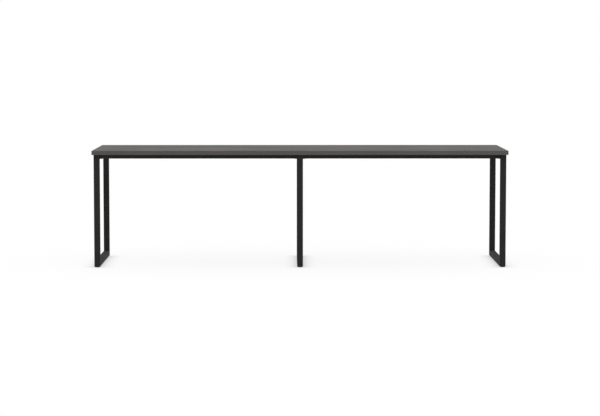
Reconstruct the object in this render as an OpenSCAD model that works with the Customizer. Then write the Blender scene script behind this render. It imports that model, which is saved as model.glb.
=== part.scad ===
// Long table on three closed leg loops of square steel tube, in millimetres.
// +X runs left to right, the front faces -Y and +Z is up.
// The origin lies on the floor, under the middle of the worktop.

/* [Worktop] */
// Length of the worktop, left to right
top_w = 2700; // [1900:10:3600]
// Depth of the worktop, front to rear
top_d = 750; // [600:10:1200]
// Height of the worktop's upper face above the floor
top_h = 760; // [600:5:1100]
// Thickness of the particleboard core
core_t = 25; // [22:1:38]
// Thickness of the laminate on the upper face
laminate_t = 0.8; // [0.6:0.1:1.6]
// Thickness of the backing sheet underneath
backer_t = 0.8; // [0.6:0.1:1.6]
// Thickness of the bands glued round the edges
band_t = 2; // [1.5:0.5:4]
// Rounding of the bands' outer edges and corners
arris_r = 1.2; // [0.5:0.1:1.4]

/* [Leg loops] */
// Distance from the worktop's ends to the outer loops
side_overhang = 11; // [0:1:250]
// Distance from the front and rear edges to the legs
front_overhang = 20; // [0:1:120]
// Width of the legs' and floor rails' square tube
leg_a = 38; // [38:1:60]
// Wall of the legs' and floor rails' tube
leg_wall = 2.5; // [1.5:0.5:3.5]
// Outer corner radius of the legs' and floor rails' tube
leg_r = 5; // [4:0.5:5.5]

/* [Top frame] */
// Width of the square tube under the worktop
rail_a = 25; // [23:1:27]
// Wall of the tube under the worktop
rail_wall = 2; // [1:0.25:2.25]
// Outer corner radius of the tube under the worktop
rail_r = 3; // [2.5:0.25:4]
// Gap between a long rail's end and the leg beside it
rail_end_gap = 0.5; // [0.1:0.1:2]

/* [Rail saddles] */
// Length of a saddle along the rail that it holds
saddle_l = 18; // [16:1:40]
// Thickness of a saddle's steel
saddle_t = 1.5; // [1:0.25:2]
// Height of a saddle's sides above its floor
saddle_h = 20; // [19:0.5:22]
// Play between a saddle's sides and the rail
saddle_play = 0.2; // [0.1:0.1:0.5]

/* [Fixing angles] */
// Length of a fixing angle along its rail
angle_l = 30; // [20:1:60]
// Thickness of a fixing angle
angle_t = 2.5; // [2:0.25:3]
// How far a fixing angle reaches down its rail
angle_drop = 16; // [14:1:20]
// How far a fixing angle reaches out under the worktop
angle_reach = 24; // [22:1:40]
// Outside bend radius of a fixing angle
angle_bend_r = 4; // [3.5:0.5:6]
// Fixing angles on each long rail
long_angles = 3; // [2:1:6]
// Distance from a long rail's end to the middle of its last angle
long_angle_inset = 240; // [40:10:400]
// Fixing angles on each side of a cross rail that has them
cross_angles = 2; // [2:1:4]
// Distance from a cross rail's end to the middle of its last angle
cross_angle_inset = 165; // [30:5:250]

/* [Fasteners] */
// Thread diameter of the rail bolts and the worktop screws
screw_d = 6; // [5:0.5:6]
// Length of the rail bolts under the head
bolt_l = 12; // [10:1:16]
// Length of the worktop screws under the head
screw_l = 16; // [12:1:20]
// Diameter of the button heads
head_d = 10.5; // [9:0.5:12]
// Height of the button heads
head_h = 3.3; // [2.5:0.1:4]
// Height of the straight rim below a head's dome
head_rim = 0.8; // [0.4:0.1:1.2]
// Width across the flats of the sockets in the heads
socket_af = 4; // [3:0.5:4]
// Depth of the sockets in the heads
socket_depth = 2; // [1.5:0.1:2.2]
// Width across the flats of the nuts in the rails
nut_af = 10; // [9:0.5:11]
// Thickness of the nuts in the rails
nut_t = 5; // [4:0.5:6]
// Outer diameter of the threaded inserts in the core
insert_d = 9.5; // [9:0.5:12]
// Length of the threaded inserts
insert_l = 13; // [10:1:15]
// Depth of the core's holes past the inserts or the screws' points
insert_room = 2; // [0.5:0.5:3]
// Radial clearance round a screw where it only passes through
pass_gap = 0.3; // [0.2:0.05:0.5]
// Radial clearance between mating threads and round the inserts
thread_gap = 0.05; // [0.02:0.01:0.1]

/* [Levelling glides] */
// Gap under the floor rails, filled by the feet
foot_gap = 3; // [2.5:0.5:6]
// Diameter of a foot
foot_d = 28; // [26:1:32]
// Distance between the two wrench flats on a foot's rim
foot_af = 25; // [23:1:27]
// Rounding of a foot's lower rim
foot_edge_r = 1; // [0.5:0.1:1.2]
// Diameter of the boss that rises into the floor rail
boss_d = 18; // [16:0.5:19]
// Radial clearance round the boss
boss_gap = 1; // [0.3:0.1:1.5]
// Clearance between the boss and the threaded plate above it
boss_top_gap = 0.3; // [0.2:0.1:0.8]
// Thread diameter of the stems
stem_d = 8; // [6:0.5:10]
// Diameter of the flange that the foot is moulded round
stem_flange_d = 13; // [12:0.5:14]
// Thickness of that flange
stem_flange_t = 2; // [1.5:0.1:2]
// Thickness of the foot below the flange
foot_floor_t = 1.2; // [0.8:0.1:1.4]
// Chamfer at the stem's upper end
stem_chamfer = 1; // [0.5:0.1:1.5]
// How far a glide screws out
glide_travel = 12; // [4:1:16]
// Length of stem that stays above the plate when a glide is right out
stem_spare = 1.5; // [0:0.5:4]
// Thickness of the threaded plate in the floor rail
plate_t = 6; // [4:0.5:8]
// Width of the threaded plate
plate_w = 26; // [22:1:27]

/* [Hidden] */
LOOPS = ["left", "centre", "right"];
SIDES = ["left", "right"];
ENDS = ["front", "rear"];

// Roundness of arcs and bores
$fn = 48;
// Cutting tools run past the faces that they cut by this much
past = 1;

FRAME_BLACK = "#2B2B2A";
LAMINATE_GREY = "#706D6B";
BAND_GREY = "#545150";
CORE_TAN = "#B99C6E";
BACKER_BROWN = "#4A4541";
ZINC = "#B8BABC";
BRASS = "#B59A57";
NYLON_BLACK = "#1E1E1E";

// Level of the worktop's underside, where the legs and the top frame end
under_z = top_h - laminate_t - core_t - backer_t;
// Level of the top frame's underside
rail_z = under_z - rail_a;
// Places of the loops along X, and of the legs' middles to the front and rear
loop_x = top_w / 2 - side_overhang - leg_a / 2;
LOOP_X = [-loop_x, 0, loop_x];
leg_y = top_d / 2 - front_overhang - leg_a / 2;
// A sign for each entry of SIDES and ENDS, pointing outwards
OUT = [-1, 1];
// Length and middle of a long rail between an outer loop and the centre one
rail_l = loop_x - leg_a - 2 * rail_end_gap;
rail_x = loop_x / 2;
// Length of a cross rail between the two legs of a loop
cross_rail_l = 2 * leg_y - leg_a;
// Distance from a rail's face to the screw in a fixing angle
screw_reach = (angle_reach + angle_t) / 2;
// Level of a floor rail's inner bottom, which the threaded plates lie on
plate_z = foot_gap + leg_wall;
// Level of the upper end of a stem
stem_top_z = plate_z + plate_t + glide_travel + stem_spare;
// Depth of the holes for the inserts and the screws
insert_hole_h = max(insert_l, screw_l - angle_t) + insert_room;

// Offsets of n things spread evenly over a span, centred on 0
function spread(n, span) = [for (i = [0:n - 1]) (i / (n - 1) - 0.5) * span];

// Places of the fixing angles along a long rail and along a cross rail
LONG_SPOTS = spread(long_angles, rail_l - 2 * long_angle_inset);
CROSS_SPOTS = spread(cross_angles, cross_rail_l - 2 * cross_angle_inset);

// Where the worktop screws go: along the long rails, then along the cross rails
LONG_SCREWS = [
    for (side = OUT, end = OUT, s = LONG_SPOTS)
        [side * rail_x + s, end * (leg_y - rail_a / 2 - screw_reach)]
];
CROSS_SCREWS = [
    for (loop = [0:2], face = inner_faces(loop), s = CROSS_SPOTS)
        [LOOP_X[loop] + face * (rail_a / 2 + screw_reach), s]
];
WORKTOP_SCREWS = concat(LONG_SCREWS, CROSS_SCREWS);

// Faces of a loop that carry saddles and angles: the one towards the middle, or both at the centre
function inner_faces(loop) = loop == 1 ? OUT : [1 - loop];

// Outlines

module round_rect(w, h, r) {
    square([w, h - 2 * r], center = true);
    square([w - 2 * r, h], center = true);
    for (x = OUT, y = OUT)
        translate([x * (w / 2 - r), y * (h / 2 - r)]) circle(r);
}

module tube_outline(a, wall, r) {
    difference() {
        round_rect(a, a, r);
        round_rect(a - 2 * wall, a - 2 * wall, r - wall);
    }
}

// Quarter ring in the first quadrant, the bend of a folded sheet
module bend(r, t) {
    intersection() {
        square(r);
        difference() {
            circle(r);
            circle(r - t);
        }
    }
}

// Folded U with its floor's upper face at 0, open upwards
module saddle_outline() {
    half = rail_a / 2 + saddle_play;
    bend_r = rail_r + saddle_t;
    translate([-half + rail_r, -saddle_t]) square([2 * (half - rail_r), saddle_t]);
    for (s = [0, 1]) mirror([s, 0]) {
        translate([half, rail_r]) square([saddle_t, saddle_h - rail_r]);
        translate([half - rail_r, rail_r]) mirror([0, 1]) bend(bend_r, saddle_t);
    }
}

// Folded L with its back at 0, reaching to +X, and its upper face at 0
module angle_outline() {
    translate([0, -angle_drop]) square([angle_t, angle_drop - angle_bend_r]);
    translate([angle_bend_r, -angle_t]) square([angle_reach - angle_bend_r, angle_t]);
    translate([angle_bend_r, -angle_bend_r]) mirror([1, 0]) bend(angle_bend_r, angle_t);
}

// Worktop

// The whole slab, its edges rounded along all three directions
module slab() {
    slab_h = top_h - under_z;
    mid_z = (top_h + under_z) / 2;
    intersection() {
        translate([-top_w / 2, 0, mid_z]) rotate([90, 0, 90])
            linear_extrude(top_w) round_rect(top_d, slab_h, arris_r);
        translate([0, top_d / 2, mid_z]) rotate([90, 0, 0])
            linear_extrude(top_d) round_rect(top_w, slab_h, arris_r);
        translate([0, 0, under_z]) linear_extrude(slab_h) round_rect(top_w, top_d, arris_r);
    }
}

// A block between two levels that fills the space inside the edge bands
module inside_bands(low, high) {
    w = top_w - 2 * band_t;
    d = top_d - 2 * band_t;
    translate([-w / 2, -d / 2, low]) cube([w, d, high - low]);
}

module long_band(end) {
    color(BAND_GREY) intersection() {
        slab();
        translate([-top_w / 2 - past, end > 0 ? top_d / 2 - band_t : -top_d / 2 - past, under_z - past])
            cube([top_w + 2 * past, band_t + past, top_h - under_z + 2 * past]);
    }
}

module short_band(side) {
    d = top_d - 2 * band_t;
    color(BAND_GREY) intersection() {
        slab();
        translate([side > 0 ? top_w / 2 - band_t : -top_w / 2 - past, -d / 2, under_z - past])
            cube([band_t + past, d, top_h - under_z + 2 * past]);
    }
}

module front_edge_band() long_band(-1);
module rear_edge_band() long_band(1);
module left_edge_band() short_band(-1);
module right_edge_band() short_band(1);

module worktop_laminate() {
    color(LAMINATE_GREY) inside_bands(top_h - laminate_t, top_h);
}

module insert_holes(low, high) {
    for (p = WORKTOP_SCREWS)
        translate([p.x, p.y, low]) cylinder(h = high - low, r = insert_d / 2 + thread_gap);
}

module worktop_core() {
    color(CORE_TAN) difference() {
        inside_bands(under_z + backer_t, top_h - laminate_t);
        insert_holes(under_z, under_z + insert_hole_h);
    }
}

module worktop_backer() {
    color(BACKER_BROWN) difference() {
        inside_bands(under_z, under_z + backer_t);
        insert_holes(under_z - past, under_z + backer_t + past);
    }
}

// Leg loops

// The half of the corner block on one side of the mitre: the floor rail's, or the leg's above it.
// Y points inwards, and the corner's outer edge is at 0.
module mitre_half(above) {
    far = leg_a + past;
    points = [[-past, -past], [far, far], above ? [-past, far] : [far, -past]];
    rotate([90, 0, 90]) linear_extrude(leg_a + 2 * past, center = true) polygon(points);
}

// Puts a corner block's parts at one end of a loop
module at_corner(end) {
    mirror([0, end > 0 ? 1 : 0, 0])
        translate([0, -leg_y - leg_a / 2, foot_gap]) children();
}

module leg(loop, end) {
    color(FRAME_BLACK) translate([LOOP_X[loop], 0, 0]) difference() {
        translate([0, end * leg_y, foot_gap])
            linear_extrude(under_z - foot_gap) tube_outline(leg_a, leg_wall, leg_r);
        at_corner(end) mitre_half(false);
    }
}

module floor_rail(loop) {
    color(FRAME_BLACK) translate([LOOP_X[loop], 0, 0]) difference() {
        translate([0, leg_y + leg_a / 2, foot_gap + leg_a / 2]) rotate([90, 0, 0])
            linear_extrude(2 * leg_y + leg_a) tube_outline(leg_a, leg_wall, leg_r);
        for (end = OUT) {
            at_corner(end) mitre_half(true);
            translate([0, end * leg_y, foot_gap - past])
                cylinder(h = leg_wall + 2 * past, r = boss_d / 2 + boss_gap);
        }
    }
}

module cross_rail(loop) {
    color(FRAME_BLACK)
        translate([LOOP_X[loop], cross_rail_l / 2, rail_z + rail_a / 2]) rotate([90, 0, 0])
            linear_extrude(cross_rail_l) tube_outline(rail_a, rail_wall, rail_r);
}

// Long rails and the saddles that hold their ends

// Places a shape at a saddle: its +X runs from the leg's face along the rail and its +Y outwards
module at_saddle(loop, face, end) {
    translate([LOOP_X[loop] + face * leg_a / 2, end * leg_y, rail_z])
        mirror([face > 0 ? 0 : 1, 0, 0]) mirror([0, end > 0 ? 0 : 1, 0]) children();
}

module at_every_saddle() {
    for (loop = [0:2], face = inner_faces(loop), end = OUT) at_saddle(loop, face, end) children();
}

// A hole or shank along Y at a saddle, starting at y and running inwards
module cross_shank(y, length, r) {
    translate([saddle_l / 2, y, rail_a / 2]) rotate([90, 0, 0]) cylinder(h = length, r = r);
}

module saddle() {
    difference() {
        rotate([90, 0, 90]) linear_extrude(saddle_l) saddle_outline();
        cross_shank(-rail_a / 2, saddle_play + saddle_t + past, screw_d / 2 + pass_gap);
    }
}

module rail_saddles(loop) {
    color(FRAME_BLACK)
        for (face = inner_faces(loop), end = OUT) at_saddle(loop, face, end) saddle();
}

module long_rail(side, end) {
    color(FRAME_BLACK) difference() {
        translate([side * rail_x - rail_l / 2, end * leg_y, rail_z + rail_a / 2])
            rotate([90, 0, 90]) linear_extrude(rail_l) tube_outline(rail_a, rail_wall, rail_r);
        at_every_saddle()
            cross_shank(past - rail_a / 2 + rail_wall, rail_wall + 2 * past, screw_d / 2 + pass_gap);
    }
}

// Fixing angles

module angle() {
    difference() {
        rotate([90, 0, 0]) linear_extrude(angle_l, center = true) angle_outline();
        translate([screw_reach, 0, -angle_t - past])
            cylinder(h = angle_t + 2 * past, r = screw_d / 2 + pass_gap);
    }
}

module long_rail_angles(side, end) {
    color(FRAME_BLACK)
        for (s = LONG_SPOTS)
            translate([side * rail_x + s, end * (leg_y - rail_a / 2), under_z])
                rotate(end > 0 ? -90 : 90) angle();
}

module cross_rail_angles(loop) {
    color(FRAME_BLACK)
        for (face = inner_faces(loop), s = CROSS_SPOTS)
            translate([LOOP_X[loop] + face * rail_a / 2, s, under_z])
                rotate(face > 0 ? 0 : 180) angle();
}

// Fasteners

// Button-head socket screw: the shank runs up from 0 and the head hangs below
module button_screw(length) {
    dome = head_h - head_rim;
    dome_r = (pow(dome, 2) + pow(head_d / 2, 2)) / (2 * dome);
    cylinder(h = length, r = screw_d / 2);
    difference() {
        mirror([0, 0, 1]) rotate_extrude() intersection() {
            square([head_d / 2, head_h]);
            translate([0, head_h - dome_r]) circle(dome_r, $fn = 4 * $fn);
        }
        translate([0, 0, -head_h - past])
            cylinder(h = socket_depth + past, r = socket_af / 2 / cos(30), $fn = 6);
    }
}

module nut() {
    difference() {
        cylinder(h = nut_t, r = nut_af / 2 / cos(30), $fn = 6);
        translate([0, 0, -past]) cylinder(h = nut_t + 2 * past, r = screw_d / 2 + thread_gap);
    }
}

module rail_nuts() {
    color(ZINC) at_every_saddle()
        translate([saddle_l / 2, -rail_a / 2 + rail_wall, rail_a / 2]) rotate([-90, 0, 0]) nut();
}

module rail_bolts() {
    color(NYLON_BLACK) at_every_saddle()
        translate([saddle_l / 2, -rail_a / 2 - saddle_play - saddle_t, rail_a / 2])
            rotate([-90, 0, 0]) button_screw(bolt_l);
}

module worktop_inserts() {
    color(BRASS)
        for (p = WORKTOP_SCREWS) translate([p.x, p.y, under_z]) difference() {
            cylinder(h = insert_l, r = insert_d / 2);
            translate([0, 0, -past])
                cylinder(h = insert_l + 2 * past, r = screw_d / 2 + thread_gap);
        }
}

module worktop_screws() {
    color(ZINC)
        for (p = WORKTOP_SCREWS) translate([p.x, p.y, under_z - angle_t]) button_screw(screw_l);
}

// Levelling glides

module at_glide(loop, end) {
    translate([LOOP_X[loop], end * leg_y, 0]) children();
}

module glide_plate(loop, end) {
    color(ZINC) at_glide(loop, end) difference() {
        translate([-plate_w / 2, -plate_w / 2, plate_z]) cube([plate_w, plate_w, plate_t]);
        translate([0, 0, plate_z - past])
            cylinder(h = plate_t + 2 * past, r = stem_d / 2 + thread_gap);
    }
}

// Half section of the foot's outside: a rim with a rounded lower edge and the boss above it
module foot_outline() {
    square([foot_d / 2 - foot_edge_r, foot_gap]);
    translate([0, foot_edge_r]) square([foot_d / 2, foot_gap - foot_edge_r]);
    translate([foot_d / 2 - foot_edge_r, foot_edge_r]) circle(foot_edge_r);
    square([boss_d / 2, plate_z - boss_top_gap]);
}

// The stem from its moulded-in flange up to its chamfered end
module stem_solid() {
    translate([0, 0, foot_floor_t]) cylinder(h = stem_flange_t, r = stem_flange_d / 2);
    translate([0, 0, foot_floor_t])
        cylinder(h = stem_top_z - foot_floor_t - stem_chamfer, r = stem_d / 2);
    translate([0, 0, stem_top_z - stem_chamfer])
        cylinder(h = stem_chamfer, r1 = stem_d / 2, r2 = stem_d / 2 - stem_chamfer);
}

module glide_foot(loop, end) {
    color(NYLON_BLACK) at_glide(loop, end) difference() {
        intersection() {
            rotate_extrude() foot_outline();
            translate([-foot_af / 2, -foot_d, -past]) cube([foot_af, 2 * foot_d, 2 * plate_z]);
        }
        stem_solid();
    }
}

module glide_stem(loop, end) {
    color(ZINC) at_glide(loop, end) stem_solid();
}

worktop_core();
worktop_laminate();
worktop_backer();
front_edge_band();
rear_edge_band();
left_edge_band();
right_edge_band();
rail_nuts();
rail_bolts();
worktop_inserts();
worktop_screws();
for (i = [0:2]) {
    loop = LOOPS[i];
    floor_rail(i);
    cross_rail(i);
    rail_saddles(i);
    cross_rail_angles(i);
    for (j = [0:1]) {
        name = str(loop, "_", ENDS[j]);
        leg(i, OUT[j]);
        glide_plate(i, OUT[j]);
        glide_foot(i, OUT[j]);
        glide_stem(i, OUT[j]);
    }
}
for (i = [0:1], j = [0:1]) {
    name = str(SIDES[i], "_", ENDS[j], "_rail");
    long_rail(OUT[i], OUT[j]);
    long_rail_angles(OUT[i], OUT[j]);
}
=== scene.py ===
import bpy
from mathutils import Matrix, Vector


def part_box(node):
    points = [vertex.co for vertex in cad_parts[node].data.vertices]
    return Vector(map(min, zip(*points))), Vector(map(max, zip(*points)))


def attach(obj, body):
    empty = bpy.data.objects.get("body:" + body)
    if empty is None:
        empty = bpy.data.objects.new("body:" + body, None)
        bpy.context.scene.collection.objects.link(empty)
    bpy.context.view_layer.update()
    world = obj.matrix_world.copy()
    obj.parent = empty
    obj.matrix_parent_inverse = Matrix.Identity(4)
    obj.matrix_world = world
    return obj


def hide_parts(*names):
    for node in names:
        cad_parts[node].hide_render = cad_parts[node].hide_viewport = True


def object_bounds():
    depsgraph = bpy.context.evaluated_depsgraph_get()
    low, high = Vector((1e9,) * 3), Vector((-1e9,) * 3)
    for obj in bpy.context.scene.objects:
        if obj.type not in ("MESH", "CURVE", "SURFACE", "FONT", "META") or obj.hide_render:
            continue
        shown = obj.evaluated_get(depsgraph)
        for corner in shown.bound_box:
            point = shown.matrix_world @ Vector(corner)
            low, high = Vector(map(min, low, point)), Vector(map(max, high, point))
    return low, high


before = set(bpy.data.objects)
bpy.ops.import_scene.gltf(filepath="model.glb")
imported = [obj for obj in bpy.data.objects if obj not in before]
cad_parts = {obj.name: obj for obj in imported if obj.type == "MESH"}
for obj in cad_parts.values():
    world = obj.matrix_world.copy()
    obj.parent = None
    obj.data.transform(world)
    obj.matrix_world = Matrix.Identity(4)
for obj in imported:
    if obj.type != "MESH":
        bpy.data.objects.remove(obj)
CAD_BOX = [list(corner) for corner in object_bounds()]

import math

import bmesh
import bpy
from bpy.props import FloatProperty, FloatVectorProperty, IntProperty, PointerProperty
from bpy.types import Operator, Panel, PropertyGroup
from mathutils import Matrix, Vector

bl_info = {
    "name": "Collaboration table",
    "version": (1, 0, 0),
    "blender": (4, 5, 0),
    "location": "View3D > Sidebar > Table",
    "description": "Finishes, welds, threads and studio for a long table on steel loops",
    "category": "Object",
}

LOOPS = ("left", "centre", "right")
SIDES = ("left", "right")
ENDS = ("front", "rear")
BANDS = [f"{edge}_edge_band" for edge in ENDS + SIDES]
LEGS = [f"{loop}_{end}_leg" for loop in LOOPS for end in ENDS]
FLOOR_RAILS = [f"{loop}_floor_rail" for loop in LOOPS]
CROSS_RAILS = [f"{loop}_cross_rail" for loop in LOOPS]
LONG_RAILS = [f"{side}_{end}_rail" for side in SIDES for end in ENDS]
SADDLES = [f"{loop}_rail_saddles" for loop in LOOPS]
ANGLES = [f"{rail}_angles" for rail in LONG_RAILS + CROSS_RAILS]
GLIDES = [f"{loop}_{end}_glide" for loop in LOOPS for end in ENDS]
TABLE = "table"
X_AXIS, Y_AXIS, Z_AXIS = Vector((1, 0, 0)), Vector((0, 1, 0)), Vector((0, 0, 1))

# Distances within which points are one, lie at a height and lie on a plane, in metres
MERGED, AT_HEIGHT, ON_PLANE = 1e-6, 1e-5, 1e-7
# Nearly all values of a noise pattern lie between these
NOISE_LOW, NOISE_HIGH = 0.3, 0.7
# Depth of a metric screw thread and of an insert's coarse thread, in pitches
THREAD_DEPTH = 0.61
INSERT_THREAD_DEPTH = 0.26
# Where a thread starts and stops to rise, then starts and stops to fall, in pitches
THREAD_PROFILE = (0.25, 0.5625, 0.6875, 1)
# Radius of a tapped bore, over its screw's
BORE_ROOM = 1.02
# Radius of a socket's round mouth, just past its corners, over the width across its flats
SOCKET_MOUTH = 0.62
# Radius of the flat land on a nut's ends, over the width across its flats, and the slope past it
NUT_LAND = 0.47
NUT_SLOPE = math.radians(30)
# Steps in which a round edge or a dome is drawn
ROUND_STEPS = 6
# Angles of the points round the outline of a weld, and how far its ripples draw it in
WELD_TURNS = [i * 2 * math.pi / 12 for i in range(12)]
RIPPLE_DEPTH = 0.1
# Least angle between two faces that makes their edge sharp
SHARP = math.radians(35)
# Least angle of the edges that get rounded on cut sheet
CUT_EDGE = math.radians(40)


def linear(*levels):
    """Scene linear colour of 0 to 255 display levels."""
    shares = [level / 255 for level in levels]
    return tuple(v / 12.92 if v <= 0.04045 else ((v + 0.055) / 1.055) ** 2.4 for v in shares)


def colour(name, description, *levels):
    default = linear(*levels)
    return FloatVectorProperty(
        name=name, description=description, subtype="COLOR", size=3, min=0, max=1, default=default
    )


def length(name, description, metres, least=0):
    return FloatProperty(
        name=name, description=description, subtype="DISTANCE", unit="LENGTH",
        min=least, precision=5, default=metres,
    )


def share(name, description, value, most=1):
    return FloatProperty(
        name=name, description=description, subtype="FACTOR", min=0, max=most, default=value
    )


def strength(name, description, value):
    return FloatProperty(name=name, description=description, min=0, default=value)


def angle(name, description, radians):
    return FloatProperty(
        name=name, description=description, subtype="ANGLE", unit="ROTATION",
        precision=4, default=radians,
    )


class WorktopSettings(PropertyGroup):
    dark: colour("Dark clouds", "Laminate where its clouds are darkest", 87, 84, 81)
    pale: colour("Pale clouds", "Laminate where its clouds are palest", 99, 95, 93)
    cloud: length("Cloud size", "Size of the laminate's slow clouds", 0.26)
    grain: length("Grain size", "Size of the laminate's fine grain", 0.0016)
    roughness: share("Roughness", "How matt the laminate is", 0.75)
    seam: length("Seam", "Width of the laminate's dark core line along the edge bands", 0.0003)
    seam_tint: colour("Seam tint", "What the core line leaves of the laminate's colour", 120, 104, 92)
    band: colour("Edge band", "Colour of the bands glued round the edges", 86, 83, 82)
    backer: colour("Backing sheet", "Colour of the sheet under the worktop", 74, 69, 65)
    chip: length("Chip size", "Size of the chips in the particleboard", 0.0022)
    chip_dark: colour("Dark chips", "Darkest chips in the particleboard", 140, 108, 70)
    chip_pale: colour("Pale chips", "Palest chips in the particleboard", 206, 176, 130)


class CoatSettings(PropertyGroup):
    coat: colour("Powder coat", "Colour of the steel's powder coat", 43, 43, 42)
    peel: length("Orange peel", "Size of the ripples in the powder coat", 0.0018)
    peel_depth: length("Ripple depth", "Depth of the ripples in the powder coat", 0.00004)
    roughness: share("Roughness", "How matt the powder coat is", 0.82)


class WeldSettings(PropertyGroup):
    tube: length("Tube weld", "Reach of the welds between tubes along each wall", 0.0035)
    sheet: length("Sheet weld", "Reach of the welds on folded sheet", 0.002)
    ripple: length("Ripple", "Distance between the ripples of a weld", 0.0024)
    sink: length("Sink", "How far a weld's back lies inside the walls", 0.0003)
    seam: length("Dressed seam", "Width of the ground weld on a mitre's flat sides", 0.005)
    seam_height: length("Seam height", "How far a ground weld stands above the tube", 0.00015)
    leg_corner: length("Leg corner", "Outer corner radius of the legs and floor rails", 0.005)
    rail_corner: length("Rail corner", "Outer corner radius of the tubes under the worktop", 0.003)
    step: length("Step", "Length of the faces along a weld", 0.0006)


class FastenerSettings(PropertyGroup):
    screw: length("Screw thread", "Outer diameter of the bolts' and screws' threads", 0.006)
    screw_pitch: length("Screw pitch", "Thread pitch of the bolts and screws", 0.001)
    insert_pitch: length("Insert pitch", "Pitch of the coarse thread round the inserts", 0.0025)
    stem_pitch: length("Stem pitch", "Thread pitch of the glides' stems", 0.00125)
    head: length("Head height", "Height of the button heads", 0.0033)
    rim: length("Head rim", "Height of the straight rim below a head's dome", 0.0008)
    socket: length("Socket", "Width across the flats of the heads' sockets", 0.004)
    socket_depth: length("Socket depth", "Depth of the heads' sockets", 0.002)
    nut: length("Nut", "Width across the flats of the nuts", 0.01)
    flange: length("Flange", "Thickness of the flange that a foot is moulded round", 0.002)
    foot_floor: length("Foot floor", "Thickness of a foot below the flange", 0.0012)
    tip: length("Tip", "Chamfer at the end of a thread", 0.0008)
    stem_share: share("Stem share", "Width of a glide's stem, over its flange's", 8 / 13)
    boss_share: share("Boss share", "Width of a foot's boss, over its flange's", 18 / 13, most=2)
    groove_in: share("Groove inside", "Inner radius of a foot's grip groove, over its width", 0.33)
    groove_out: share("Groove outside", "Outer radius of a foot's grip groove, over its width", 0.39)
    groove_depth: share("Groove depth", "Depth of a foot's grip groove, over its width", 0.014)
    gate: share("Gate", "Radius of the moulding's gate mark under a foot, over its width", 0.06)
    gate_depth: share("Gate depth", "Depth of the gate mark, over the foot's width", 0.01)
    soft_edge: length("Soft edge", "Rounding of turned, moulded and cut edges", 0.0003)
    steps: IntProperty(
        name="Steps",
        description="Faces round a thread, a multiple of six",
        min=12,
        max=48,
        default=24,
    )
    zinc: colour("Zinc plating", "Colour of the screws and nuts", 184, 187, 190)
    stem_zinc: colour("Stem plating", "Colour of the glides' stems and plates", 176, 180, 186)
    brass: colour("Brass", "Colour of the inserts", 186, 158, 92)
    oxide: colour("Black oxide", "Colour of the bolts in the rails", 44, 44, 46)
    nylon_dark: colour("Dark nylon", "Nylon of the feet where it is darkest", 26, 26, 26)
    nylon_pale: colour("Pale nylon", "Nylon of the feet where it is palest", 36, 36, 36)


class StudioSettings(PropertyGroup):
    floor: colour("Floor", "Colour that the floor throws back on the table", 231, 231, 231)
    floor_size: length("Floor size", "Half the width of the floor", 60)
    floor_gap: length("Floor gap", "How far the floor lies below the feet", 0.0001)
    zenith: strength("Overhead light", "Light from straight above, added to the level light", 1.2)
    level: strength("Level light", "Light from every direction", 0.4)
    shadow: share("Shadow", "How much of its shadow the floor shows", 0.11)
    contact: share("Contact shadow", "How dark the floor gets close beside a piece", 0.6)
    contact_reach: length("Contact reach", "How far the contact shadow spreads", 0.09)
    distance: length("Camera distance", "From the worktop's front edge to the camera", 12.97)
    height: length("Camera height", "From the floor to the camera", 1.466)
    side: length("Camera side", "How far right of the middle the camera stands", -0.067, least=-5)
    pitch: angle("Pitch", "How far the camera looks down", 0.08283)
    yaw: angle("Yaw", "How far the camera looks right", 0.00513)
    lens: FloatProperty(
        name="Focal length",
        description="Focal length of the camera, in millimetres",
        subtype="DISTANCE_CAMERA",
        unit="CAMERA",
        min=1,
        default=120.39,
    )
    sight: length("Sight", "How far the camera sees", 200)


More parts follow.
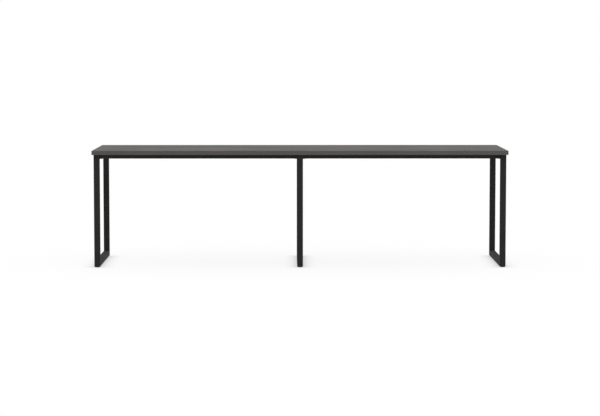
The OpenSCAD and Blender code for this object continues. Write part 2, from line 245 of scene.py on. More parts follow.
class Finish:
    """A procedural material that reads Object coordinates."""

    def __init__(self, name, **sockets):
        self.material = bpy.data.materials.new(name)
        self.material.use_nodes = True
        self.tree = self.material.node_tree
        self.shader = self.tree.nodes["Principled BSDF"]
        for socket, value in sockets.items():
            self.shader.inputs[socket.replace("_", " ")].default_value = value
        self.place = self.add("ShaderNodeTexCoord").outputs["Object"]

    def add(self, kind, **settings):
        node = self.tree.nodes.new(kind)
        for setting, value in settings.items():
            setattr(node, setting, value)
        return node

    def join(self, start, end):
        self.tree.links.new(start, end)

    def stretched(self, *scale):
        """Coordinates in which a pattern is drawn out along each axis."""
        mapping = self.add("ShaderNodeMapping")
        self.join(self.place, mapping.inputs["Vector"])
        mapping.inputs["Scale"].default_value = [1 / s for s in scale]
        return mapping.outputs["Vector"]

    def noise(self, size, detail=2.0, distortion=0.0, place=None):
        """Cloudy pattern whose clouds are about as large as size, in metres."""
        node = self.add("ShaderNodeTexNoise")
        self.join(place or self.place, node.inputs["Vector"])
        node.inputs["Scale"].default_value = 1 / size
        node.inputs["Detail"].default_value = detail
        node.inputs["Distortion"].default_value = distortion
        return node.outputs["Fac"]

    def cells(self, size, place=None, output="Distance"):
        """Cell pattern whose cells are about as large as size, in metres."""
        node = self.add("ShaderNodeTexVoronoi")
        self.join(place or self.place, node.inputs["Vector"])
        node.inputs["Scale"].default_value = 1 / size
        return node.outputs[output]

    def ramp(self, pattern, low, high, low_colour, high_colour):
        """Colour that goes from one to the other as the pattern goes from low to high."""
        node = self.add("ShaderNodeValToRGB")
        self.join(pattern, node.inputs["Fac"])
        stops = node.color_ramp.elements
        stops[0].position, stops[0].color = low, (*low_colour, 1)
        stops[1].position, stops[1].color = high, (*high_colour, 1)
        return node.outputs["Color"]

    def mix(self, mode, amount, base, layer):
        """Base colour with a layer laid over it in one of Blender's mixing modes."""
        node = self.add("ShaderNodeMixRGB", blend_type=mode)
        node.inputs["Fac"].default_value = amount
        self.join(base, node.inputs["Color1"])
        self.join(layer, node.inputs["Color2"])
        return node.outputs["Color"]

    def drifting(self, tint, pattern, dark, pale, low=NOISE_LOW, high=NOISE_HIGH):
        """Tint that a pattern takes from a darker to a paler shade, each given as a factor."""
        return self.ramp(pattern, low, high, tinted(tint, dark), tinted(tint, pale))

    def mottled(self, base, pattern, amount, spread=0.2, low=NOISE_LOW, high=NOISE_HIGH):
        """Base colour with a pattern that darkens and brightens it by turns."""
        greys = self.ramp(pattern, low, high, (0.5 - spread,) * 3, (0.5 + spread,) * 3)
        return self.mix("OVERLAY", amount, base, greys)

    def range(self, pattern, low, high, to_low, to_high):
        """Number that goes from one to the other as the pattern goes from low to high."""
        node = self.add("ShaderNodeMapRange")
        self.join(pattern, node.inputs["Value"])
        sockets = ("From Min", "From Max", "To Min", "To Max")
        for socket, value in zip(sockets, (low, high, to_low, to_high)):
            node.inputs[socket].default_value = value
        return node.outputs["Result"]

    def paint(self, tint):
        self.join(tint, self.shader.inputs["Base Color"])

    def vary_roughness(self, pattern, low, high):
        rough = self.range(pattern, NOISE_LOW, NOISE_HIGH, low, high)
        self.join(rough, self.shader.inputs["Roughness"])

    def bump(self, *layers):
        """Relief from one or more (pattern, depth in metres) layers."""
        normal = None
        for pattern, depth in layers:
            node = self.add("ShaderNodeBump")
            node.inputs["Distance"].default_value = depth
            self.join(pattern, node.inputs["Height"])
            if normal:
                self.join(normal, node.inputs["Normal"])
            normal = node.outputs["Normal"]
        self.join(normal, self.shader.inputs["Normal"])


def near_rim(look, node, width):
    """1 within a width of a flat node's outline, 0 elsewhere."""
    low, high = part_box(node)
    fade = width / 5
    parts = look.add("ShaderNodeSeparateXYZ")
    look.join(look.place, parts.inputs["Vector"])
    masks = []
    for axis, start, end in (("X", low.x, high.x), ("Y", low.y, high.y)):
        away = look.add("ShaderNodeMath", operation="ABSOLUTE")
        centred = look.add("ShaderNodeMath", operation="SUBTRACT")
        look.join(parts.outputs[axis], centred.inputs[0])
        centred.inputs[1].default_value = (start + end) / 2
        look.join(centred.outputs["Value"], away.inputs[0])
        inner = (end - start) / 2 - width
        masks.append(look.range(away.outputs["Value"], inner - fade, inner, 0, 1))
    either = look.add("ShaderNodeMath", operation="MAXIMUM")
    for mask, socket in zip(masks, either.inputs):
        look.join(mask, socket)
    return either.outputs["Value"]


def tinted(tint, factor):
    """A colour made darker or paler by a factor."""
    return tuple(min(1, v * factor) for v in tint)


def laminate_finish(s):
    """Matt warm grey laminate with slow clouds, drawn out along the worktop, and a fine grain."""
    look = Finish("laminate", Roughness=s.roughness, Specular_IOR_Level=0.2)
    along = look.stretched(1.6, 1, 1)
    clouds = look.noise(s.cloud, detail=3, distortion=0.6, place=along)
    drifts = look.noise(s.cloud / 5, detail=4, distortion=1.2, place=along)
    fibres = look.noise(s.grain * 3, place=look.stretched(6, 1, 1))
    grain = look.noise(s.grain, detail=3)
    base = look.ramp(clouds, 0.35, 0.65, s.dark, s.pale)
    base = look.mottled(base, drifts, 0.2)
    base = look.mottled(base, fibres, 0.2)
    base = look.mottled(base, grain, 0.25, spread=0.25)
    seam = near_rim(look, "worktop_laminate", s.seam)
    line = look.ramp(seam, 0, 1, (1,) * 3, s.seam_tint)
    look.paint(look.mix("MULTIPLY", 1.0, base, line))
    look.vary_roughness(grain, s.roughness - 0.05, s.roughness + 0.05)
    look.bump((grain, 0.00003), (fibres, 0.00002))
    return look.material


def band_finish(s):
    """Satin plastic band with a faint haircell relief."""
    look = Finish("edge_band", Roughness=0.5, Specular_IOR_Level=0.3)
    slow = look.noise(0.3, detail=3, distortion=0.5, place=look.stretched(3, 3, 1))
    grain = look.noise(0.0012, detail=3)
    base = look.drifting(s.band, slow, 0.88, 1.12, low=0.35, high=0.65)
    look.paint(look.mottled(base, grain, 0.18))
    look.vary_roughness(grain, 0.45, 0.55)
    look.bump((look.cells(0.0009), 0.000015), (grain, 0.00002))
    return look.material


def core_finish(s):
    """Raw particleboard: pressed chips of several browns, with dark pores between them."""
    look = Finish("particleboard", Roughness=0.85, Specular_IOR_Level=0.3)
    flat = look.stretched(2.5, 1.6, 1)
    chips = look.cells(s.chip, flat, "Color")
    dust = look.noise(0.0008, detail=3)
    base = look.ramp(chips, 0.1, 0.9, s.chip_dark, s.chip_pale)
    pores = look.ramp(dust, 0.35, 0.6, (0.45,) * 3, (1,) * 3)
    look.paint(look.mix("MULTIPLY", 0.35, base, pores))
    look.bump((look.cells(s.chip, flat), 0.0002), (dust, 0.0001))
    return look.material


def backer_finish(s):
    """Plain backing sheet: resin-soaked paper with faint fibres."""
    look = Finish("backing_sheet", Roughness=0.6, Specular_IOR_Level=0.3)
    fibres = look.noise(0.004, detail=4, distortion=0.8, place=look.stretched(5, 1, 1))
    slow = look.noise(0.35, detail=3, distortion=0.4)
    base = look.drifting(s.backer, slow, 0.86, 1.14)
    look.paint(look.mottled(base, fibres, 0.3))
    look.vary_roughness(fibres, 0.52, 0.68)
    look.bump((fibres, 0.00003))
    return look.material


def coat_finish(name, s):
    """Fine black powder coat: orange peel, a finer grit and a faint drift in its black."""
    look = Finish(name, Roughness=s.roughness, Specular_IOR_Level=0.2)
    peel = look.noise(s.peel)
    grit = look.noise(s.peel / 5, detail=3)
    drift = look.noise(0.18, detail=3, distortion=0.4)
    base = look.drifting(s.coat, drift, 0.88, 1.12)
    look.paint(look.mottled(base, grit, 0.3))
    look.vary_roughness(grit, s.roughness - 0.07, s.roughness + 0.07)
    look.bump((peel, s.peel_depth), (grit, s.peel_depth / 4))
    return look.material


def metal_finish(name, tint, roughness, spangle):
    """Plated or bare metal with a crystal bloom of the given size and fine scratches."""
    look = Finish(name, Roughness=roughness, Metallic=1.0)
    bloom = look.cells(spangle, output="Color")
    haze = look.noise(spangle * 4, detail=4, distortion=0.8)
    scratches = look.noise(0.0006, place=look.stretched(1, 1, 12))
    base = look.drifting(tint, haze, 0.82, 1.1)
    look.paint(look.mottled(base, bloom, 0.2, spread=0.15, low=0.2, high=0.8))
    look.vary_roughness(haze, roughness - 0.08, roughness + 0.12)
    look.bump((scratches, 0.000008))
    return look.material


def nylon_finish(s):
    """Moulded black nylon with a spark-eroded grain."""
    look = Finish("black_nylon", Roughness=0.55, Specular_IOR_Level=0.4)
    grain = look.noise(0.0005, detail=3)
    flow = look.noise(0.009, detail=3, distortion=1)
    base = look.ramp(flow, NOISE_LOW, NOISE_HIGH, s.nylon_dark, s.nylon_pale)
    look.paint(look.mottled(base, grain, 0.3))
    look.vary_roughness(grain, 0.48, 0.62)
    look.bump((grain, 0.00002))
    return look.material


def dress(names, material):
    """Gives CAD nodes a material."""
    for name in names:
        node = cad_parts[name]
        if not node.material_slots:
            node.data.materials.append(None)
        for place in node.material_slots:
            place.material = material


def add_piece(name, bm, material, body, replaced=()):
    """Makes a bmesh a shown piece that rides on a CAD body, in place of the CAD nodes it replaces."""
    mesh = bpy.data.meshes.new(name)
    bm.to_mesh(mesh)
    bm.free()
    mesh.polygons.foreach_set("use_smooth", [True] * len(mesh.polygons))
    mesh.set_sharp_from_angle(angle=SHARP)
    mesh.materials.append(material)
    piece = bpy.data.objects.new(name, mesh)
    bpy.context.scene.collection.objects.link(piece)
    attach(piece, body)
    if replaced:
        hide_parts(*replaced)
    return piece


def add_shape(bm, shape):
    """Adds a closed shape to a bmesh, its faces outwards, and frees it."""
    face_out(shape)
    mesh = bpy.data.meshes.new("shape")
    shape.to_mesh(mesh)
    shape.free()
    bm.from_mesh(mesh)
    bpy.data.meshes.remove(mesh)


def merged_copy(node):
    """The mesh of a CAD node with its loose triangles merged."""
    bm = bmesh.new()
    bm.from_mesh(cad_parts[node].data)
    bmesh.ops.remove_doubles(bm, verts=bm.verts, dist=MERGED)
    return bm


def solids_of(node):
    """Lowest and highest corners of each separate solid in a CAD node."""
    bm = merged_copy(node)
    boxes = []
    left = set(bm.verts)
    while left:
        solid, rim = set(), {left.pop()}
        while rim:
            solid |= rim
            rim = {edge.other_vert(vert) for vert in rim for edge in vert.link_edges} - solid
        left -= solid
        axes = list(zip(*(vert.co for vert in solid)))
        boxes.append((Vector(map(min, axes)), Vector(map(max, axes))))
    bm.free()
    return sorted(boxes, key=lambda box: (round(box[0].x, 4), round(box[0].y, 4)))


def seat(box, axis, sunk=0.0):
    """Matrix that lays a shape drawn along Z into a box, along Z, Y or -Y. The shape's own 0 lies a
    sunk length inside the box's first end, as a screw's does past its head."""
    low, high = box
    start = (low + high) / 2
    if axis == "Z":
        start.z = low.z + sunk
        return Matrix.Translation(start)
    ahead = -1 if axis == "-Y" else 1
    start.y = (low.y if ahead > 0 else high.y) + ahead * sunk
    return Matrix.Translation(start) @ Matrix.Rotation(-ahead * math.pi / 2, 4, "X")


def straight(start, end, wall_a, wall_b, step):
    """Stations along a straight corner, each a point and the directions in which its two walls run."""
    count = max(8, round((end - start).length / step))
    return [(start.lerp(end, i / count), wall_a, wall_b) for i in range(count + 1)]


def collar(middle, half, low, high, radius, across, out, step):
    """Stations down one side, round the bottom and up the other side of a piece that butts on a wall.
    The piece is 2 * half wide along across, and out points away from the wall."""
    flat = half - radius
    down = range(max(4, round((high - low - radius) / step)))
    stations = [(-half, high - i * step, -1, 0) for i in down]
    for bend, first_turn in ((-flat, math.pi), (flat, 1.5 * math.pi)):
        for i in range(ROUND_STEPS + 1):
            turn = first_turn + i / ROUND_STEPS * math.pi / 2
            u, v = math.cos(turn), math.sin(turn)
            stations.append((bend + radius * u, low + radius * (1 + v), u, v))
        if bend < 0:
            count = max(2, round(2 * flat / step))
            stations += [(-flat + 2 * flat * i / count, low, 0, -1) for i in range(1, count)]
    stations += [(half, high - i * step, 1, 0) for i in reversed(down)]
    return [(middle + across * u + Z_AXIS * v, across * a + Z_AXIS * b, out) for u, v, a, b in stations]


def fillet(reach, sink):
    """Outline of a fillet weld: a circle that both walls cut flat, a little behind their faces."""
    circle_radius, circle_offset = 1.2 * reach, 0.25 * reach
    outline = []
    for turn in WELD_TURNS:
        along_a = circle_radius * math.cos(turn) - circle_offset
        along_b = circle_radius * math.sin(turn) - circle_offset
        outline.append((max(along_a, -sink), max(along_b, -sink)))
    return outline


def pillow(width, height, sink):
    """Outline of a ground weld: a low pillow on a flat wall."""
    outline = []
    for turn in WELD_TURNS:
        rise = height if math.sin(turn) > 0 else sink
        outline.append((width / 2 * math.cos(turn), rise * math.sin(turn)))
    return outline


def bar(stations, outline, ripple=0.0):
    """Closed bar of an outline along stations, with rounded ends and, for a weld, ripples."""
    bm = bmesh.new()
    last, around = len(stations) - 1, len(outline)
    bmesh.ops.create_grid(bm, x_segments=last, y_segments=around, size=0.5)
    run = [0.0]
    for (start, *_), (end, *_) in zip(stations, stations[1:]):
        run.append(run[-1] + (end - start).length)
    reach = max(max(point) for point in outline)
    for vert in bm.verts:
        ring = round((vert.co.x + 0.5) * last)
        a, b = outline[round((vert.co.y + 0.5) * around) % around]
        point, wall_a, wall_b = stations[ring]
        from_end = min(run[ring], run[-1] - run[ring])
        scale = math.sqrt(max(0.0, 1 - max(0.0, 1 - from_end / reach) ** 2))
        if ripple:
            crest = abs(math.sin(math.pi * run[ring] / ripple))
            scale *= 1 - RIPPLE_DEPTH * (1 - crest)
        vert.co = point + (wall_a * a + wall_b * b) * scale
    bmesh.ops.remove_doubles(bm, verts=bm.verts, dist=MERGED)
    return bm


def hexagonal(vert, width):
    """How far from the axis a hexagon of a width across its flats lies, in a vertex's direction."""
    turn = math.atan2(vert.co.y, vert.co.x) % (math.pi / 3) - math.pi / 6
    return width / 2 / math.cos(turn)


def circle(bm, radius, z, steps):
    """Edges of a new circle round Z."""
    place = Matrix.Translation((0, 0, z))
    verts = bmesh.ops.create_circle(bm, segments=steps, radius=radius, matrix=place)["verts"]
    return list({edge for vert in verts for edge in vert.link_edges})


def draw_on(bm, edges, outline, width=0.0):
    """Draws a loop round Z on through the radii and heights of an outline and returns the last loop.
    Where a width is given, each loop is a hexagon of that width plus the outline's figure."""
    for radius, z in outline:
        drawn = bmesh.ops.extrude_edge_only(bm, edges=edges)["geom"]
        fresh = {item for item in drawn if isinstance(item, bmesh.types.BMVert)}
        edges = list({e for vert in fresh for e in vert.link_edges if e.other_vert(vert) in fresh})
        for vert in fresh:
            reach = radius + hexagonal(vert, width) if width else radius
            vert.co.xy = vert.co.xy.normalized() * reach
            vert.co.z = z
    return edges


def close(bm, edges):
    """Closes a loop with one face."""
    return bmesh.ops.contextual_create(bm, geom=edges)["faces"]


def open_edges(bm, z):
    """The open edges at a height."""
    rims = [e for e in bm.edges if e.is_boundary]
    return [e for e in rims if all(abs(v.co.z - z) < AT_HEIGHT for v in e.verts)]


def profile(bm, outline):
    """Points and edges of a line through the radii and heights of an outline, ready to be spun."""
    verts = [bm.verts.new((radius, 0, z)) for radius, z in outline]
    return verts + [bm.edges.new(pair) for pair in zip(verts, verts[1:])]


def cut(bm, point, outwards):
    """Cuts off what lies outside a plane."""
    bmesh.ops.bisect_plane(
        bm,
        geom=bm.verts[:] + bm.edges[:] + bm.faces[:],
        dist=ON_PLANE,
        plane_co=point,
        plane_no=outwards,
        clear_outer=True,
    )


def thread(core, crest, pitch, low, high, steps):
    """Helical surface of a thread along Z, cut square and open at both ends."""
    bm = bmesh.new()
    radii = (core, core, crest, crest, core)
    heights = [low + (pitches - 1) * pitch for pitches in (0, *THREAD_PROFILE)]
    turns = math.ceil((high - low) / pitch) + 2
    bmesh.ops.spin(
        bm,
        geom=profile(bm, zip(radii, heights)),
        cent=(0, 0, 0),
        axis=Z_AXIS,
        dvec=(0, 0, pitch / steps),
        angle=2 * math.pi * turns,
        steps=steps * turns,
    )
    bmesh.ops.remove_doubles(bm, verts=bm.verts, dist=2 * MERGED)
    cut(bm, (0, 0, low), -Z_AXIS)
    cut(bm, (0, 0, high), Z_AXIS)
    return bm


def chamfer(bm, crest, high, size):
    """Turns a thread's end down to a cone and closes it."""
    for vert in bm.verts:
        limit = crest - max(0.0, vert.co.z - (high - size))
        if vert.co.xy.length > limit:
            vert.co.xy = vert.co.xy.normalized() * limit
    close(bm, open_edges(bm, high))


def button_screw(s, head_width, grip):
    """Button-head socket screw along Z: the shank rises from 0 and the head hangs below."""
    crest, edge = s.screw / 2, head_width / 2
    core = crest - THREAD_DEPTH * s.screw_pitch
    neck = s.screw_pitch / 4
    bm = thread(core, crest, s.screw_pitch, neck, grip, s.steps)
    chamfer(bm, crest, grip, s.tip)
    dome = s.head - s.rim
    dome_radius = (dome ** 2 + edge ** 2) / (2 * dome)
    mouth = s.socket * SOCKET_MOUTH
    outline = [(core, 0), (edge - s.soft_edge, 0), (edge, -s.soft_edge), (edge, -s.rim)]
    for i in range(1, ROUND_STEPS + 1):
        radius = edge + (mouth - edge) * i / ROUND_STEPS
        outline.append((radius, dome_radius - s.head - math.sqrt(dome_radius ** 2 - radius ** 2)))
    mouth_z = outline[-1][1]
    rim = draw_on(bm, open_edges(bm, neck), outline)
    walls = [(0, mouth_z + s.soft_edge), (0, s.socket_depth - s.head)]
    socket = draw_on(bm, rim, walls, s.socket)
    drill_point = s.socket / 6
    bmesh.ops.poke(bm, faces=close(bm, socket), offset=-drill_point)
    return bm


def hex_nut(s, thick):
    """Nut along Z from 0, its corners turned down at both ends."""
    bm = bmesh.new()
    bore, land = s.screw / 2 * BORE_ROOM, s.nut * NUT_LAND
    start = circle(bm, bore, s.soft_edge, s.steps)
    flat = draw_on(bm, start, [(bore + s.soft_edge, 0), (land, 0)])
    flat = draw_on(bm, flat, [(0, 0), (0, thick)], s.nut)
    for vert in bm.verts:
        reach = vert.co.xy.length
        if reach > (land + s.nut / 2) / 2:
            drop = (reach - land) * math.tan(NUT_SLOPE)
            vert.co.z += drop if vert.co.z < thick / 2 else -drop
    last = draw_on(bm, flat, [(land, thick), (bore + s.soft_edge, thick), (bore, thick - s.soft_edge)])
    bmesh.ops.bridge_loops(bm, edges=last + start)
    return bm


def insert(s, width, tall):
    """Threaded insert along Z from 0: a coarse thread outside and a plain bore."""
    core = width / 2 - INSERT_THREAD_DEPTH * s.insert_pitch
    bm = thread(core, width / 2, s.insert_pitch, 0, tall, s.steps)
    bore, edge = s.screw / 2 * BORE_ROOM, s.soft_edge
    low = draw_on(bm, open_edges(bm, 0), [(bore + edge, 0), (bore, edge)])
    high = draw_on(bm, open_edges(bm, tall), [(bore + edge, tall), (bore, tall - edge)])
    bmesh.ops.bridge_loops(bm, edges=low + high)
    return bm


def stem(s, width, low, high, flange_width, plain):
    """Glide stem along Z: a flange, a plain neck and a thread up to a chamfered end."""
    core = width / 2 - THREAD_DEPTH * s.stem_pitch
    bm = thread(core, width / 2, s.stem_pitch, plain, high, s.steps)
    chamfer(bm, width / 2, high, s.tip)
    edge, flange, top = s.soft_edge, flange_width / 2, low + s.flange
    outline = [
        (width / 2, plain - s.stem_pitch / 2),
        (width / 2, top),
        (flange - edge, top),
        (flange, top - edge),
        (flange, low + edge),
        (flange - edge, low),
    ]
    close(bm, draw_on(bm, open_edges(bm, plain), outline))
    return bm


def foot(s, width, flats, rim, boss_width, top, stem_width, flange_width):
    """Moulded foot: a rim with two wrench flats, a drafted boss, a grip groove and a gate mark."""
    bm = bmesh.new()
    edge, half, boss = s.soft_edge, width / 2, boss_width / 2
    stem_hole, flange = stem_width / 2, flange_width / 2
    flange_low, flange_high = s.foot_floor, s.foot_floor + s.flange
    groove_in, groove_out = width * s.groove_in, width * s.groove_out
    groove_depth, gate_depth = width * s.groove_depth, width * s.gate_depth
    gate = width * s.gate
    gate_floor, rim_round = gate * 0.6, rim / 3
    outline = [
        (0, gate_depth),
        (gate_floor, gate_depth),
        (gate, 0),
        (groove_in, 0),
        (groove_in + groove_depth, groove_depth),
        (groove_out - groove_depth, groove_depth),
        (groove_out, 0),
    ]
    for i in range(ROUND_STEPS + 1):
        turn = i / ROUND_STEPS * math.pi / 2
        outline.append((half - rim_round * (1 - math.sin(turn)), rim_round * (1 - math.cos(turn))))
    outline += [
        (half, rim - edge),
        (half - edge, rim),
        (boss + edge, rim),
        (boss, rim + edge),
        (boss - edge, top - edge),
        (boss - 2 * edge, top),
        (stem_hole + edge, top),
        (stem_hole, top - edge),
        (stem_hole, flange_high),
        (flange, flange_high),
        (flange, flange_low),
        (0, flange_low),
    ]
    bmesh.ops.spin(
        bm,
        geom=profile(bm, outline),
        cent=(0, 0, 0),
        axis=Z_AXIS,
        angle=2 * math.pi,
        steps=3 * s.steps,
        use_merge=True,
    )
    bmesh.ops.remove_doubles(bm, verts=bm.verts, dist=MERGED)
    for side in (-X_AXIS, X_AXIS):
        cut(bm, side * flats / 2, side)
        bmesh.ops.contextual_create(bm, geom=[e for e in bm.edges if e.is_boundary])
    return bm


def face_out(bm):
    """Turns the faces of one closed shape outwards."""
    bmesh.ops.recalc_face_normals(bm, faces=bm.faces)
    if bm.calc_volume(signed=True) < 0:
        bmesh.ops.reverse_faces(bm, faces=bm.faces)


def group(shapes):
    """One bmesh of several finished shapes."""
    bm = bmesh.new()
    for shape in shapes:
        add_shape(bm, shape)
    return bm


def copies(shape, places):
    """One bmesh with a finished shape at each of several places."""
    bm = group(shape.copy() for place in places)
    bm.verts.ensure_lookup_table()
    count = len(shape.verts)
    for i, place in enumerate(places):
        bmesh.ops.transform(bm, matrix=place, verts=bm.verts[i * count:(i + 1) * count])
    return bm


def softened(node, width):
    """Copy of a CAD node with its sharp edges rounded."""
    bm = merged_copy(node)
    bmesh.ops.dissolve_limit(bm, angle_limit=math.radians(1), verts=bm.verts, edges=bm.edges)
    sharp = [e for e in bm.edges if e.is_manifold and e.calc_face_angle(0) > CUT_EDGE]
    bmesh.ops.bevel(
        bm, geom=sharp, offset=width, offset_type="OFFSET", affect="EDGES",
        segments=2, profile=0.5, material=-1, clamp_overlap=True,
    )
    return bm


def sign(end):
    """-1 at the front and the left, 1 at the rear and the right."""
    return -1 if end in ("front", "left") else 1


def mitre_welds(s, loop, end):
    """The ground seams on both flat sides of a mitre, and the bead in its inner corner."""
    low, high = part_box(f"{loop}_{end}_leg")
    inward = -sign(end) * Y_AXIS
    outer = low.y if end == "front" else high.y
    width = high.x - low.x
    foot_corner = Vector((0, outer, low.z))
    diagonal = inward + Z_AXIS
    for x, out in ((low.x, -X_AXIS), (high.x, X_AXIS)):
        start = foot_corner + X_AXIS * x + diagonal * s.leg_corner
        end_point = foot_corner + X_AXIS * x + diagonal * (width - s.leg_corner)
        across = diagonal.normalized().cross(out)
        line = straight(start, end_point, across, out, 4 * s.step)
        yield bar(line, pillow(s.seam, s.seam_height, s.sink))
    inner = foot_corner + diagonal * width
    start, end_point = (inner + X_AXIS * x for x in (low.x + s.leg_corner, high.x - s.leg_corner))
    yield bar(straight(start, end_point, inward, Z_AXIS, s.step), fillet(s.tube, s.sink), s.ripple)


def cross_rail_welds(s, loop):
    """A bead round three sides of each end of a cross rail."""
    low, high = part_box(f"{loop}_cross_rail")
    middle, half = (low.x + high.x) / 2, (high.x - low.x) / 2
    for y, out in ((low.y, Y_AXIS), (high.y, -Y_AXIS)):
        corner = Vector((middle, y, 0))
        top = high.z - s.tube / 2
        line = collar(corner, half, low.z, top, s.rail_corner, X_AXIS, out, s.step)
        yield bar(line, fillet(s.tube, s.sink), s.ripple)


def saddle_welds(s, loop):
    """A bead round each saddle where it butts on its leg."""
    leg_low, leg_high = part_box(f"{loop}_front_leg")
    leg_x = (leg_low.x + leg_high.x) / 2
    for low, high in solids_of(f"{loop}_rail_saddles"):
        right = low.x > leg_x
        out = X_AXIS if right else -X_AXIS
        corner = Vector((low.x if right else high.x, (low.y + high.y) / 2, 0))
        half, radius = (high.y - low.y) / 2, s.rail_corner + s.sheet / 2
        line = collar(corner, half, low.z, high.z, radius, Y_AXIS, out, s.step)
        yield bar(line, fillet(s.sheet, s.sink), s.ripple)


def angle_welds(s, rail, along, out_axis):
    """A short bead at each end of every fixing angle on a rail."""
    rail_low, rail_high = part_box(rail)
    rail_middle = (rail_low + rail_high) / 2
    half_rail = (rail_high - rail_low).dot(out_axis) / 2
    for low, high in solids_of(f"{rail}_angles"):
        middle, half = (low + high) / 2, (high - low) / 2
        out = out_axis if (middle - rail_middle).dot(out_axis) > 0 else -out_axis
        face = rail_middle.dot(out) + half_rail
        for side in (-1, 1):
            corner = along * (middle.dot(along) + side * half.dot(along)) + out * face
            start, end_point = (corner + Z_AXIS * z for z in (low.z, high.z - 2 * s.sheet))
            line = straight(start, end_point, along * side, out, s.step)
            yield bar(line, fillet(s.sheet, s.sink), s.ripple)


class TABLE_OT_worktop(Operator):
    """Give the worktop's sheets, core and edge bands their finishes"""

    bl_idname = "table.worktop"
    bl_label = "Worktop"

    def execute(self, context):
        s = context.scene.table_worktop
        dress(["worktop_laminate"], laminate_finish(s))
        dress(BANDS, band_finish(s))
        dress(["worktop_core"], core_finish(s))
        dress(["worktop_backer"], backer_finish(s))
        return {"FINISHED"}


class TABLE_OT_tubes(Operator):
    """Coat the legs and every rail"""

    bl_idname = "table.tubes"
    bl_label = "Tubes"

    def execute(self, context):
        coat = coat_finish("powder_coat", context.scene.table_coat)
        dress(LEGS + FLOOR_RAILS + CROSS_RAILS + LONG_RAILS, coat)
        return {"FINISHED"}


class TABLE_OT_welds(Operator):
    """Weld the mitres, the cross rails, the saddles and the fixing angles"""

    bl_idname = "table.welds"
    bl_label = "Welds"

    def execute(self, context):
        s = context.scene.table_weld
        coat = coat_finish("coated_weld", context.scene.table_coat)
        for loop in LOOPS:
            for end in ENDS:
                welds = group(mitre_welds(s, loop, end))
                add_piece(f"{loop}_{end}_mitre_welds", welds, coat, TABLE)
            welds = group(cross_rail_welds(s, loop))
            add_piece(f"{loop}_cross_rail_welds", welds, coat, TABLE)
            welds = group(saddle_welds(s, loop))
            add_piece(f"{loop}_saddle_welds", welds, coat, TABLE)
        for rails, along, out in ((LONG_RAILS, X_AXIS, Y_AXIS), (CROSS_RAILS, Y_AXIS, X_AXIS)):
            for rail in rails:
                welds = group(angle_welds(s, rail, along, out))
                add_piece(f"{rail}_angle_welds", welds, coat, TABLE)
        return {"FINISHED"}


class TABLE_OT_brackets(Operator):
    """Round the cut edges of the saddles and fixing angles and coat them"""

    bl_idname = "table.brackets"
    bl_label = "Brackets"

    def execute(self, context):
        width = context.scene.table_fastener.soft_edge
        coat = coat_finish("coated_sheet", context.scene.table_coat)
        for name in SADDLES + ANGLES:
            sheet = softened(name, width)
            add_piece(f"{name}_folded", sheet, coat, TABLE, [name])
        return {"FINISHED"}


class TABLE_OT_fasteners(Operator):
    """Cut the threads, heads and hexagons of the bolts, nuts, screws and inserts"""

    bl_idname = "table.fasteners"
    bl_label = "Fasteners"

    def execute(self, context):
        s = context.scene.table_fastener
        zinc = metal_finish("zinc_plate", s.zinc, roughness=0.34, spangle=0.003)
        brass = metal_finish("brass", s.brass, roughness=0.38, spangle=0.004)
        black = metal_finish("black_oxide", s.oxide, roughness=0.42, spangle=0.004)

        boxes = solids_of("worktop_screws")
        low, high = boxes[0]
        screw = button_screw(s, high.x - low.x, high.z - low.z - s.head)
        screws = copies(screw, [seat(box, "Z", s.head) for box in boxes])
        add_piece("worktop_screws_threaded", screws, zinc, TABLE, ["worktop_screws"])

        boxes = solids_of("worktop_inserts")
        low, high = boxes[0]
        bush = insert(s, high.x - low.x, high.z - low.z)
        inserts = copies(bush, [seat(box, "Z") for box in boxes])
        add_piece("worktop_inserts_threaded", inserts, brass, TABLE, ["worktop_inserts"])

        boxes = solids_of("rail_bolts")
        low, high = boxes[0]
        bolt = button_screw(s, high.x - low.x, high.y - low.y - s.head)
        bolts = copies(bolt, [seat(box, "Y" if box[0].y > 0 else "-Y", s.head) for box in boxes])
        add_piece("rail_bolts_threaded", bolts, black, TABLE, ["rail_bolts"])

        boxes = solids_of("rail_nuts")
        low, high = boxes[0]
        nut = hex_nut(s, high.y - low.y)
        nuts = copies(nut, [seat(box, "Y") for box in boxes])
        add_piece("rail_nuts_turned", nuts, zinc, TABLE, ["rail_nuts"])
        return {"FINISHED"}


class TABLE_OT_glides(Operator):
    """Mould the feet, thread the stems and plate the plates that they screw into"""

    bl_idname = "table.glides"
    bl_label = "Glides"

    def execute(self, context):
        s = context.scene.table_fastener
        nylon = nylon_finish(s)
        zinc = metal_finish("zinc_stem", s.stem_zinc, roughness=0.36, spangle=0.004)
        foot_low, foot_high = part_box(f"{GLIDES[0]}_foot")
        stem_low, stem_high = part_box(f"{GLIDES[0]}_stem")
        wide, flats, top = foot_high.y - foot_low.y, foot_high.x - foot_low.x, foot_high.z
        flange = stem_high.x - stem_low.x
        spindle_width, boss = flange * s.stem_share, flange * s.boss_share
        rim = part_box(FLOOR_RAILS[0])[0].z
        moulding = foot(s, wide, flats, rim, boss, top, spindle_width, flange)
        spindle = stem(s, spindle_width, stem_low.z, stem_high.z, flange, top - s.foot_floor)
        for glide in GLIDES:
            low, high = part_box(f"{glide}_foot")
            place = [Matrix.Translation(((low.x + high.x) / 2, (low.y + high.y) / 2, 0))]
            nylon_foot, threaded_stem = copies(moulding, place), copies(spindle, place)
            add_piece(f"{glide}_foot_moulded", nylon_foot, nylon, glide, [f"{glide}_foot"])
            add_piece(f"{glide}_stem_threaded", threaded_stem, zinc, glide, [f"{glide}_stem"])
            dress([f"{glide}_plate"], zinc)
        return {"FINISHED"}


class TABLE_OT_studio(Operator):
    """Set up the floor, the soft light and the camera"""

    bl_idname = "table.studio"
    bl_label = "Studio"

    def execute(self, context):
        s = context.scene.table_studio
        add_floor(s)
        light_dome(s)
        place_camera(s)
        context.scene.view_settings.view_transform = "Standard"
        return {"FINISHED"}


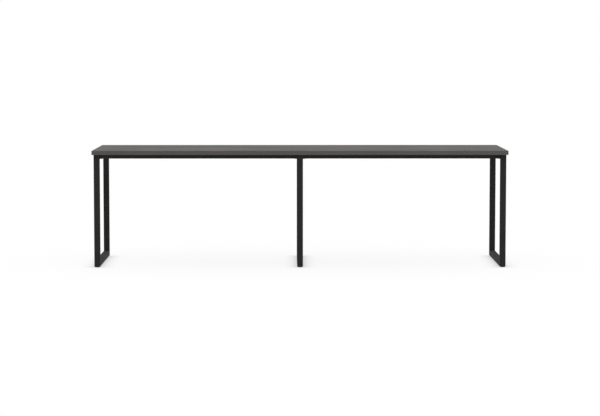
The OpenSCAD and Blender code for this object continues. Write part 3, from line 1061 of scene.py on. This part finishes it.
def seen_directly(tree):
    """1 for what the camera sees, straight or in a reflection or through glass."""
    path = tree.nodes.new("ShaderNodeLightPath")
    seen = path.outputs["Is Camera Ray"]
    for ray in ("Is Glossy Ray", "Is Transmission Ray"):
        either = tree.nodes.new("ShaderNodeMath")
        either.operation = "MAXIMUM"
        tree.links.new(seen, either.inputs[0])
        tree.links.new(path.outputs[ray], either.inputs[1])
        seen = either.outputs["Value"]
    return seen


def mixed(tree, factor, first, second):
    """Mix of two shaders, by a number or by a socket."""
    mix = tree.nodes.new("ShaderNodeMixShader")
    if isinstance(factor, float):
        mix.inputs["Fac"].default_value = factor
    else:
        tree.links.new(factor, mix.inputs["Fac"])
    tree.links.new(first, mix.inputs[1])
    tree.links.new(second, mix.inputs[2])
    return mix.outputs["Shader"]


def floor_finish(s):
    """White where the camera looks, apart from a soft cast shadow and a painted contact shade close
    beside the pieces, pale to the light that it throws back, and clear from below, so that the
    underside shows."""
    material = bpy.data.materials.new("studio_floor")
    material.use_nodes = True
    tree = material.node_tree
    tree.nodes.clear()
    thrown = tree.nodes.new("ShaderNodeBsdfDiffuse")
    thrown.inputs["Color"].default_value = (*s.floor, 1)
    shaded = tree.nodes.new("ShaderNodeBsdfDiffuse")
    shaded.inputs["Color"].default_value = (1, 1, 1, 1)
    # Painted contact shade: ambient occlusion dims the floor's white glow close beside the pieces
    painted_contact_shade = tree.nodes.new("ShaderNodeAmbientOcclusion")
    painted_contact_shade.inputs["Distance"].default_value = s.contact_reach
    ramp = tree.nodes.new("ShaderNodeMapRange")
    tree.links.new(painted_contact_shade.outputs["AO"], ramp.inputs["Value"])
    ramp.inputs["To Min"].default_value = 1 - s.contact
    white = tree.nodes.new("ShaderNodeEmission")
    tree.links.new(ramp.outputs["Result"], white.inputs["Strength"])
    seen = mixed(tree, float(s.shadow), white.outputs["Emission"], shaded.outputs["BSDF"])
    above = mixed(tree, seen_directly(tree), thrown.outputs["BSDF"], seen)
    below = tree.nodes.new("ShaderNodeBsdfTransparent").outputs["BSDF"]
    side = tree.nodes.new("ShaderNodeNewGeometry").outputs["Backfacing"]
    out = tree.nodes.new("ShaderNodeOutputMaterial")
    tree.links.new(mixed(tree, side, above, below), out.inputs["Surface"])
    return material


def add_floor(s):
    """A wide floor just below the feet."""
    bm = bmesh.new()
    below_feet = Matrix.Translation((0, 0, -s.floor_gap))
    bmesh.ops.create_grid(bm, x_segments=1, y_segments=1, size=s.floor_size, matrix=below_feet)
    mesh = bpy.data.meshes.new("studio_floor")
    bm.to_mesh(mesh)
    bm.free()
    mesh.materials.append(floor_finish(s))
    floor = bpy.data.objects.new("studio_floor", mesh)
    bpy.context.scene.collection.objects.link(floor)


def light_dome(s):
    """Soft light from all round, stronger overhead, in front of a white background."""
    world = bpy.data.worlds.new("studio")
    bpy.context.scene.world = world
    world.use_nodes = True
    tree = world.node_tree
    tree.nodes.clear()
    direction = tree.nodes.new("ShaderNodeTexCoord")
    parts = tree.nodes.new("ShaderNodeSeparateXYZ")
    tree.links.new(direction.outputs["Generated"], parts.inputs["Vector"])
    above = parts.outputs["Z"]
    for operation, value in (("MAXIMUM", 0), ("POWER", 2), ("MULTIPLY", s.zenith), ("ADD", s.level)):
        step = tree.nodes.new("ShaderNodeMath")
        step.operation = operation
        step.inputs[1].default_value = value
        tree.links.new(above, step.inputs[0])
        above = step.outputs["Value"]
    dome = tree.nodes.new("ShaderNodeBackground")
    tree.links.new(above, dome.inputs["Strength"])
    white = tree.nodes.new("ShaderNodeBackground")
    for background in (dome, white):
        background.inputs["Color"].default_value = (1, 1, 1, 1)
    out = tree.nodes.new("ShaderNodeOutputWorld")
    shown = mixed(tree, seen_directly(tree), dome.outputs["Background"], white.outputs["Background"])
    tree.links.new(shown, out.inputs["Surface"])


def place_camera(s):
    """The photograph's view, measured from the worktop's front edge."""
    data = bpy.data.cameras.new("camera")
    data.lens = s.lens
    data.clip_end = s.sight
    camera = bpy.data.objects.new("camera", data)
    bpy.context.scene.collection.objects.link(camera)
    camera.location = (s.side, CAD_BOX[0][1] - s.distance, s.height)
    camera.rotation_euler = (math.pi / 2 - s.pitch, 0, -s.yaw)
    bpy.context.scene.camera = camera


class TABLE_PT_sidebar(Panel):
    """Sizes, colours and steps of the table"""

    bl_label = "Table"
    bl_idname = "TABLE_PT_sidebar"
    bl_space_type = "VIEW_3D"
    bl_region_type = "UI"
    bl_category = "Table"

    def draw(self, context):
        for name in SETTINGS:
            box = self.layout.box()
            settings = getattr(context.scene, name)
            for value in settings.bl_rna.properties.keys():
                if value not in ("rna_type", "name"):
                    box.prop(settings, value)
        for operator in OPERATORS:
            self.layout.operator(operator.bl_idname)


SETTINGS = {
    "table_worktop": WorktopSettings,
    "table_coat": CoatSettings,
    "table_weld": WeldSettings,
    "table_fastener": FastenerSettings,
    "table_studio": StudioSettings,
}
OPERATORS = (
    TABLE_OT_worktop,
    TABLE_OT_tubes,
    TABLE_OT_welds,
    TABLE_OT_brackets,
    TABLE_OT_fasteners,
    TABLE_OT_glides,
    TABLE_OT_studio,
)


def register():
    for name, settings in SETTINGS.items():
        bpy.utils.register_class(settings)
        setattr(bpy.types.Scene, name, PointerProperty(type=settings))
    for item in (*OPERATORS, TABLE_PT_sidebar):
        bpy.utils.register_class(item)


def unregister():
    for item in (TABLE_PT_sidebar, *reversed(OPERATORS)):
        bpy.utils.unregister_class(item)
    for name, settings in reversed(SETTINGS.items()):
        delattr(bpy.types.Scene, name)
        bpy.utils.unregister_class(settings)


def main():
    register()
    bpy.ops.table.worktop()
    bpy.ops.table.tubes()
    bpy.ops.table.welds()
    bpy.ops.table.brackets()
    bpy.ops.table.fasteners()
    bpy.ops.table.glides()
    bpy.ops.table.studio()


if __name__ == "__main__":
    main()
